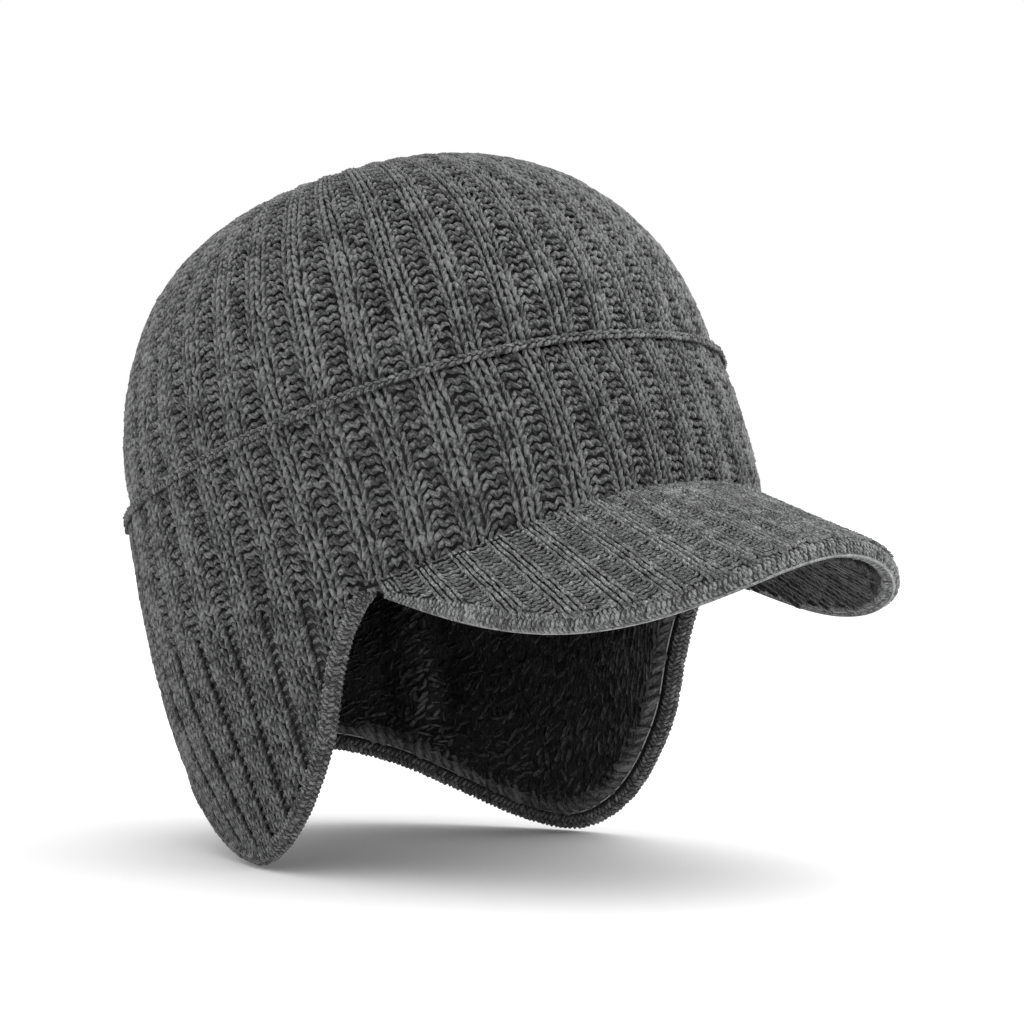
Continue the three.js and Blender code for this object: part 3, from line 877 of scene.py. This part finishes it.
def crown():
    sectors = (("crown_knit_front", -6, 13), ("crown_knit_left", 7, 12), ("crown_knit_right", 19, 13))
    for index, (name, first, ribs) in enumerate(sectors):
        piece, number = knit_sector(name, chunky_tile(), first, ribs, CROWN_COURSES, 11 + index)
        middle = stitch_centres(read_points(piece.data), number)
        part = np.arange(len(middle)) % (len(LEGS) + len(BUMPS))
        left = (CROWN_COURSES - middle[:, 1]) * COURSE / HALF_WIDTH
        keep = (part < len(LEGS)) | (left > BUMP_END)
        keep &= ~np.isin(part, (0, len(LEGS) - 1)) | (left > OUTER_LEG_END)
        keep_stitches(piece, number, keep)
        lay(piece, crown_surface, RIB_WIDTH)
        finish_piece(piece, CHUNKY, "rib_knit", "crown")
    ground = ground_piece("crown_ground", 0, RIB_COUNT, CROWN_COURSES, 30, crown_surface)
    finish_piece(ground, SHADED_GROUND, "rib_knit")


def gather():
    """The drawn-up middle of the crown, a small plump button of knit."""
    bm = new_bmesh()
    bmesh.ops.create_uvsphere(bm, u_segments=20, v_segments=8, radius=1, calc_uvs=True)
    for vert in bm.verts:
        x, y, z = vert.co
        ribbed = GATHER_BUTTON * (1 + 0.1 * math.cos(10 * math.atan2(y, x)))
        spot = place(x * ribbed, CROWN_SHIFT + y * ribbed, CROWN_HEIGHT - GATHER_DIP + z * GATHER_PLUMP)
        vert.co = Vector(spot) * MM
    finish_piece(new_piece("crown_gather", bm), CHUNKY, "rib_knit")


def band():
    piece, _ = knit_sector("band_knit", chunky_tile(), 0, RIB_COUNT, BAND_COURSES, 21)
    lay(piece, band_surface, RIB_WIDTH)
    finish_piece(piece, BAND_SHADE_YARN, "rib_knit", "band")
    ground = ground_piece("band_ground", 0, RIB_COUNT, BAND_COURSES, 10, band_surface)
    finish_piece(ground, SHADED_GROUND, "rib_knit")


def seam():
    """A near-black cord along the seam between the band and the peak: a painted shadow line."""
    angle = np.linspace(-SEAM_ANGLE, SEAM_ANGLE, 241)
    height = band_edge(angle) - SEAM_DROP
    centre = shell_point(angle, height, BAND_STAND + SEAM_STAND)
    up = unit(shell_point(angle, height + 1, BAND_STAND + SEAM_STAND) - centre)
    outward = unit(shell_point(angle, height, BAND_STAND + SEAM_STAND + 1) - centre)
    cord = Roll(centre, up * SEAM_RADIUS, outward * SEAM_RADIUS)
    roll_core("band_seam_shadow", cord, 0, SEAM_SHADOW, "rib_knit", False, 6)


def flaps():
    first, ribs = 7, 25
    piece, number = knit_sector("ear_flap_knit", flap_tile(), first, ribs, FLAP_COURSES, 31, FLAP_LOOSENESS)
    points = read_points(piece.data)
    middle = stitch_centres(points, number)
    angle, z = flap_place(middle[:, 0], middle[:, 1])
    folded = fold(angle)
    here = shell_point(folded, flap_edge(folded), 0)
    slope_step = 0.5
    ahead = shell_point(folded + slope_step, flap_edge(folded + slope_step), 0)
    run = np.linalg.norm(ahead - here, axis=1)
    steep = (flap_edge(folded + slope_step) - flap_edge(folded)) / run
    clear = (z - flap_edge(folded)) * np.sqrt(np.clip(1 - steep ** 2, 0, 1))
    keep = (folded > PEAK_ANGLE + 1) & (clear > HEM_WIDTH - 2.2)
    keep_stitches(piece, number, keep)
    lay(piece, flap_surface, RIB_WIDTH)
    finish_piece(piece, SLIM, "rib_knit", "ear_flaps")
    flap_ground()


def inset_table(distance):
    """The height of the flap edge moved into the cloth, against the angle from the brow."""
    angle = np.linspace(PEAK_ANGLE, 180, 400)
    moved, height = inset_point(angle, distance)
    rising = moved >= np.maximum.accumulate(moved)
    return np.append(moved[rising], 180), np.append(height[rising], flap_edge(180) + distance)


def flap_ground():
    """The closed knit sheet under the stitches of the flaps."""
    start = PEAK_ANGLE + 2
    piece = flat_grid("ear_flap_ground", 224, 12, 360 - 2 * start, 1)
    points = read_points(piece.data)
    angle = points[:, 0] + start
    top = band_edge(angle) - 0.3
    bottom = np.minimum(np.interp(fold(angle), *inset_table(HEM_WIDTH - 3)), top - 0.5)
    z = mix(bottom, top, points[:, 1])
    write_points(piece.data, shell_point(angle, z, BAND_STAND + GROUND_LOW) * MM)
    thicken(piece, GROUND_WALL)
    finish_piece(piece, SHADED_GROUND, "rib_knit")
    return piece


def lay_peak_knit(name, tile, courses, course, surface, seed_number, margin, looseness=(1,)):
    """A face of the peak's knit, cut off at a margin from the rim."""
    piece = swatch(name, tile, PEAK_RIBS, PEAK_RIB_WIDTH, courses, course)
    number = loosen(piece.data, STITCH, seed_number, 0.08, 3.5, looseness)
    points = read_points(piece.data)
    points[:, 0] = points[:, 0] / PEAK_RIB_WIDTH - (PEAK_RIBS - 1) / 2
    points[:, 1] = points[:, 1] / course + 0.5
    middle = stitch_centres(points, number)
    side = middle[:, 0] * 2 / PEAK_RIBS
    if surface is under_surface:
        side = -side
    reach = peak_reach(side, middle[:, 1] * course)
    room = margin * (1 if surface is under_surface else peak_size(side))
    keep = (reach < 1) & (rim_distance(side, reach) > room)
    write_points(piece.data, points)
    keep_stitches(piece, number, keep)
    lay(piece, surface, PEAK_RIB_WIDTH)
    return piece


def peak():
    gauge = PEAK_RIB_WIDTH / RIB_WIDTH
    tile = rib_tile(gauge, LEGS, (2.15, 7.6, 3.2), 0.09, 1.3, BUMPS, (2.5, 3.2, 2.8), -1.8)
    upper = lay_peak_knit("peak_knit", tile, 36, PEAK_COURSE, peak_surface, 41,
                          PEAK_EDGE_WIDTH - 3.5, PLAIN_LEGS + (PEAK_LOOSENESS,) * 4)
    finish_piece(upper, FINE_LIT, "rib_knit_light", "peak")
    tile = rib_tile(1, UNDER_LEGS, (2.1, 6.4, 2.4), 0.05, 0.7)
    under = lay_peak_knit("peak_under_knit", tile, 16, UNDER_COURSE, under_surface, 42,
                          PEAK_EDGE_WIDTH - 1.5)
    finish_piece(under, SHADED, "rib_knit_light")
    for face, stitches in zip(faces(), (upper, under)):
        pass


def peak_far(side, margin):
    """How far a place over the brow reaches before it comes within a margin of the rim."""
    reaches = np.linspace(0, 1, 81)
    grid_side, grid_reach = np.meshgrid(side, reaches, indexing="ij")
    away = rim_distance(grid_side.ravel(), grid_reach.ravel()).reshape(grid_side.shape)
    clear = away > (margin * peak_size(side))[:, None]
    return reaches[np.maximum(np.sum(np.cumprod(clear, axis=1), axis=1) - 1, 1)]


def faces():
    """The closed knit sheets under the stitches of the peak's upper and lower face."""
    side = np.linspace(-PEAK_FACE_END, PEAK_FACE_END, 121)
    far = peak_far(side, PEAK_EDGE_WIDTH - 3)
    made = []
    for name, base, sunk in (("peak_ground", 0, -1.2), ("peak_under", -1, 1.6)):
        piece = flat_grid(name, 168, 24, 2, 1)
        points = read_points(piece.data)
        at_side = (points[:, 0] - 1) * PEAK_FACE_END
        reach = points[:, 1] * np.interp(at_side, side, far)
        lift = (PEAK_THICKNESS * (reach + base) + sunk) * peak_size(at_side)
        spots = peak_sheet(at_side, reach) + peak_normal(at_side, reach) * lift[:, None]
        write_points(piece.data, spots * MM)
        if base < 0:
            turn_over(piece.data)
        thicken(piece, GROUND_WALL)
        finish_piece(piece, SHADED_EDGE_GROUND if base == 0 else SHADED_GROUND, "rib_knit_light")
        made.append(piece)
    return made


def ridge():
    """The cord of stitches along the top of the band: rows that lean against each other."""
    angle = np.linspace(0, 360, 721)
    radius = RIDGE_WIDTH / 2
    height = ridge_height(angle)
    middle = radius + 2 * CLEARANCE
    centre = shell_point(angle, height, middle)
    across = unit(shell_point(angle, height + 1, middle) - centre) * radius
    outward = unit(shell_point(angle, height, middle + 1) - centre) * radius
    roll = Roll(centre, across, outward)
    size = (2.1, 3.3, 2.1)
    rows = ((42, size, 0.5, -0.3), (112, size, -0.5, -0.4), (-28, size, -0.5, -0.4))
    piece = roll_strokes("band_ridge_stitches", roll, rows, pitch=2.6, radius=radius,
                         seed_number=51, flat=True)
    finish_piece(piece, CHUNKY, "rib_knit_light", "band_ridge")
    roll_core("band_ridge_core", roll, 0.7, SHADED_GROUND, "rib_knit_light", True)


def inset_point(folded, distance):
    """A point of the flap edge moved into the cloth, as an angle and a height."""
    step = 0.5
    z = flap_edge(folded)
    ahead_z = flap_edge(folded + step)
    here = shell_point(folded, z, 0)
    run = np.linalg.norm(shell_point(folded + step, ahead_z, 0) - here, axis=-1)
    degree = np.linalg.norm(shell_point(folded + 1, z, 0) - here, axis=-1)
    rise = (ahead_z - z) / run
    return folded - rise * distance / degree, z + np.sqrt(np.clip(1 - rise ** 2, 0, 1)) * distance


def hem_size(angle):
    return mix(HEM_CORNER_SHARE, 1, smooth((fold(angle) - PEAK_ANGLE - HEM_START) / HEM_CORNER_RUN))


def edge_line(angle, distance, out):
    """A line along the flap edge, a distance inside it."""
    inset_angle, z = inset_point(fold(angle), distance)
    return shell_point(np.where(angle > 180, 360 - inset_angle, inset_angle), z, out)


def edge_roll(distance, out, half_width, half_thickness, start):
    angle = np.linspace(start, 360 - start, 1201)
    size = hem_size(angle)
    centre = edge_line(angle, size * distance, out)
    tangent = unit(np.gradient(centre, axis=0))
    outward = unit(edge_line(angle, size * distance, out + 1) - centre)
    across = unit(np.cross(outward, tangent))
    return Roll(centre, across * (size * half_width)[:, None], outward * (size * half_thickness)[:, None])


def hem():
    """The rounded binding of the flaps, its seam thread, and the folded facing inside it."""
    start = PEAK_ANGLE + HEM_START - HEM_LEAD
    roll = edge_roll(HEM_WIDTH / 2, BAND_STAND - HEM_THICKNESS / 2 + 2 * CLEARANCE, HEM_WIDTH / 2,
                     HEM_THICKNESS / 2, start)
    rows = (
        (38, (1.6, 3.6, 1.4), 0.45, -0.5),
        (84, (1.6, 3.6, 1.2), -0.4, -0.45),
        (130, (1.6, 3.6, 1.1), 0.3, -0.42),
        (176, (1.6, 3.6, 1.1), -0.3, -0.42),
        (222, (1.6, 3.6, 1.2), 0.35, -0.45),
        (268, (1.6, 3.6, 1.4), -0.4, -0.5),
    )
    piece = roll_strokes("flap_hem_stitches", roll, rows, pitch=1.8, radius=3.3,
                         seed_number=61, shift=0.07, turn=5)
    finish_piece(piece, CHUNKY, "rib_knit", "flap_hem")
    roll_core("flap_hem_core", roll, 0.75, SHADED_EDGE_GROUND, "rib_knit", False)
    groove = edge_roll(HEM_WIDTH * 0.8, BAND_STAND - HEM_THICKNESS + 0.1, 0.24, 0.24, start)
    roll_core("flap_hem_thread", groove, 0, THREAD, "rib_knit", False, 6)
    facing = edge_roll(HEM_WIDTH * 1.24, BAND_STAND - HEM_THICKNESS - 0.1, 3.8, 2.2, start)
    folds = ((258, (5.2, 8.6, 3.2), 0.7, -0.9), (312, (3.8, 5.2, 2.6), 0.5, -0.9))
    strip = roll_strokes("flap_facing", facing, folds, pitch=3.9, radius=2.8,
                         seed_number=62, shift=0.3, turn=9)
    finish_piece(strip, FACING, "rib_knit")
    roll_core("flap_facing_core", facing, 0.8, SHADED_EDGE_GROUND, "rib_knit", False)


def peak_edge():
    """The knit rolled round the rim: strands across it, and a smooth lip below."""
    side = np.sin(np.linspace(-90, 90, 481) * DEGREES) * PEAK_EDGE_END
    size = peak_size(side)[:, None]
    one = np.ones(side.shape)
    rim = peak_sheet(side, one)
    tangent = unit(np.gradient(rim, axis=0))
    normal = peak_normal(side, one)
    inward = unit(np.cross(normal, tangent))
    centre = rim + inward * size * PEAK_EDGE_WIDTH / 2 + normal * size * PEAK_THICKNESS / 2
    roll = Roll(centre, inward * size * PEAK_EDGE_WIDTH / 2, normal * size * PEAK_THICKNESS / 2)
    rows = (
        (74, (1.5, 4.0, 1.5), 0.2, -0.55),
        (118, (1.5, 4.0, 1.4), -0.2, -0.5),
        (162, (1.5, 4.0, 1.4), 0.2, -0.5),
        (208, (1.5, 4.0, 1.4), -0.2, -0.5),
        (258, (1.5, 4.4, 1.5), 0.2, -0.6),
        (308, (1.5, 4.8, 1.5), -0.2, -0.7),
    )
    piece = roll_strokes("peak_edge_stitches", roll, rows, pitch=1.6, radius=3.5,
                         seed_number=71, shift=0.1, turn=6)
    finish_piece(piece, RIM, "rib_knit_light", "peak_edge")
    roll_core("peak_edge_core", roll, 0.6, SHADED_EDGE_GROUND, "rib_knit_light", False)
    low = centre + inward * size * PEAK_EDGE_WIDTH * -0.43 - normal * size * PEAK_THICKNESS * 0.2
    lip = Roll(low, inward * size * 0.45, normal * size * 0.6)
    roll_core("peak_edge_lip", lip, 0, FINE_LIT, "rib_knit_light", False, 8)


def waves(points, longest, shortest, count, seed_number):
    """An uneven field made of many crossing waves, between about -1 and 1."""
    chance = np.random.default_rng(seed_number)
    total = np.zeros(len(points))
    for _ in range(count):
        direction = unit(chance.normal(0, 1, 3))
        length = chance.uniform(shortest, longest)
        total += np.sin(points @ direction * (2 * math.pi / length) + chance.uniform(0, 2 * math.pi))
    return total / math.sqrt(count)


def soft_roll(angle):
    """The fold of the fleece down the far side: a roll with a crease on either side."""
    total = 0
    for height, middle, width in ((1, 136, 2.8), (-0.3, 143, 2.8), (-0.4, 129, 3.4)):
        total = total + height * np.exp(-((angle - middle) / width) ** 2)
    return total


def lining():
    """Fleece inside the cap: a backing sheet with curls all over it, and a soft roll down the far side."""
    table = inset_table(HEM_WIDTH + 3 * CLEARANCE)
    behind_band = CROWN_WALL + 1.5 * CLEARANCE
    behind_flap = FLAP_WALL - BAND_STAND + 2 * CLEARANCE
    step = -BAND_HEIGHT * SKIRT_DEPTH - 3 * CLEARANCE

    def climb_at(share):
        """The climb that crown_point takes, at a share of the way from the fleece's edge to the gather."""
        run = np.clip((share - LOW_SHARE) / (1 - LOW_SHARE), 0, 1) * CROWN_RUN[-1]
        return np.interp(run, CROWN_RUN, CLIMBS)

    def inside(angle, share):
        """A point of the fleece's face, from its edge up to the gather."""
        brow = band_edge(angle) + 3 * CLEARANCE
        folded = fold(angle)
        bottom = np.where(folded < table[0][0] + 0.5, brow, np.minimum(np.interp(folded, *table), brow))
        z = mix(bottom, ridge_height(angle), np.clip(share / LOW_SHARE, 0, 1))
        inset = mix(behind_band, behind_flap, np.clip((step - z) / LINING_STEP_RUN, 0, 1)) + LINING_WALL
        dome = crown_point(angle, climb_at(share), behind_band + LINING_WALL)
        place_on = np.where((share < LOW_SHARE)[:, None], shell_point(angle, z, -inset), dome)
        inward = unit(np.array((0, 0, 10)) - place_on)
        tall = smooth((z - FOLD_BOTTOM) / 10) * smooth((FOLD_TOP - z) / 12)
        lift = FLEECE_WAVE * waves(place_on, 60, 25, 12, 82) + FOLD_STAND * tall * soft_roll(angle)
        return place_on + inward * lift[:, None]

    backing = flat_grid("fleece_lining", 180, 80, 360, 1)
    points = read_points(backing.data)
    write_points(backing.data, inside(points[:, 0], points[:, 1]) * MM)
    join_seams(backing.data, 0.3)
    turn_over(backing.data)
    finish_piece(backing, FLEECE, "fleece", "lining")

    columns, rows, across, along = 206, 78, 2.72, 3.14
    bm = new_bmesh()
    seed(bm, (0, 0, 0.5), (1.8, 5.2, 2.6), 0.75, 1.4, sides=3, rings=3)
    pile = swatch("fleece_curls", bm, columns, across, rows, along)
    number = loosen(pile.data, CURL, 83, 0.6, 17)
    points = read_points(pile.data)
    middle = stitch_centres(points, number)
    climb = climb_at(middle[:, 1] / (along * rows))
    crowding = np.cos(climb * DEGREES) ** CROWN_ROUND
    keep = np.random.default_rng(84).random(len(middle)) < 1.15 * crowding
    points[:, 0] /= across
    points[:, 1] = points[:, 1] / along + 0.5
    write_points(pile.data, points)
    shade = np.empty(len(points), np.float32)
    pile.data.attributes["tone_and_shade"].data.foreach_get("value", shade)
    high = points[:, 1] / rows
    # Painted light and shade on the curls: lighter along the soft roll, darker in the creases either side
    # of it, and darker higher up inside the crown
    shade += 0.5 * soft_roll(360 - points[:, 0] * 360 / columns) - 0.42 * smooth((high - 0.06) / 0.22)
    pile.data.attributes["tone_and_shade"].data.foreach_set("value", shade)
    keep_stitches(pile, number, keep)

    def pile_surface(u, v):
        return inside(np.mod(-u * 360 / columns, 360), v / rows)

    lay(pile, pile_surface, across)
    finish_piece(pile, FLEECE, "fleece")


def stage():
    bm = bmesh.new()
    bmesh.ops.create_grid(bm, x_segments=1, y_segments=1, size=3)
    for vert in bm.verts:
        vert.co.z = cad_box[0][2] - MM
    floor = new_piece("floor", bm)
    material, _, shader = new_material("pale floor")
    shader.inputs["Base Color"].default_value = (1, 1, 1, 1)
    shader.inputs["Roughness"].default_value = 0.7
    floor.data.materials.append(material)


def light(name, place, size, energy, target=(0, 0, 0.03)):
    lamp = bpy.data.lights.new(name, "AREA")
    lamp.shape = "DISK"
    lamp.size = size
    lamp.energy = energy
    lamp_object = bpy.data.objects.new(name, lamp)
    direction = Vector(place) - Vector(target)
    turn = direction.to_track_quat("Z", "Y").to_matrix().to_4x4()
    lamp_object.matrix_world = Matrix.Translation(place) @ turn
    bpy.context.collection.objects.link(lamp_object)


def lights():
    world = bpy.data.worlds.new("studio")
    world.use_nodes = True
    background = world.node_tree.nodes["Background"]
    background.inputs["Color"].default_value = (1, 1, 1, 1)
    background.inputs["Strength"].default_value = 1
    bpy.context.scene.world = world
    sun = bpy.data.lights.new("overhead", "SUN")
    sun.energy = 1.3
    sun.angle = 75 * DEGREES
    sun_object = bpy.data.objects.new("overhead", sun)
    sun_object.matrix_world = Vector((0.22, -0.36, 1)).to_track_quat("Z", "Y").to_matrix().to_4x4()
    bpy.context.collection.objects.link(sun_object)
    light("front", (1.2, -1.3, 0.7), 1.0, 8)


crown()
gather()
band()
seam()
flaps()
peak()
ridge()
hem()
peak_edge()
lining()
stage()
lights()
bpy.context.scene.view_settings.view_transform = "Standard"
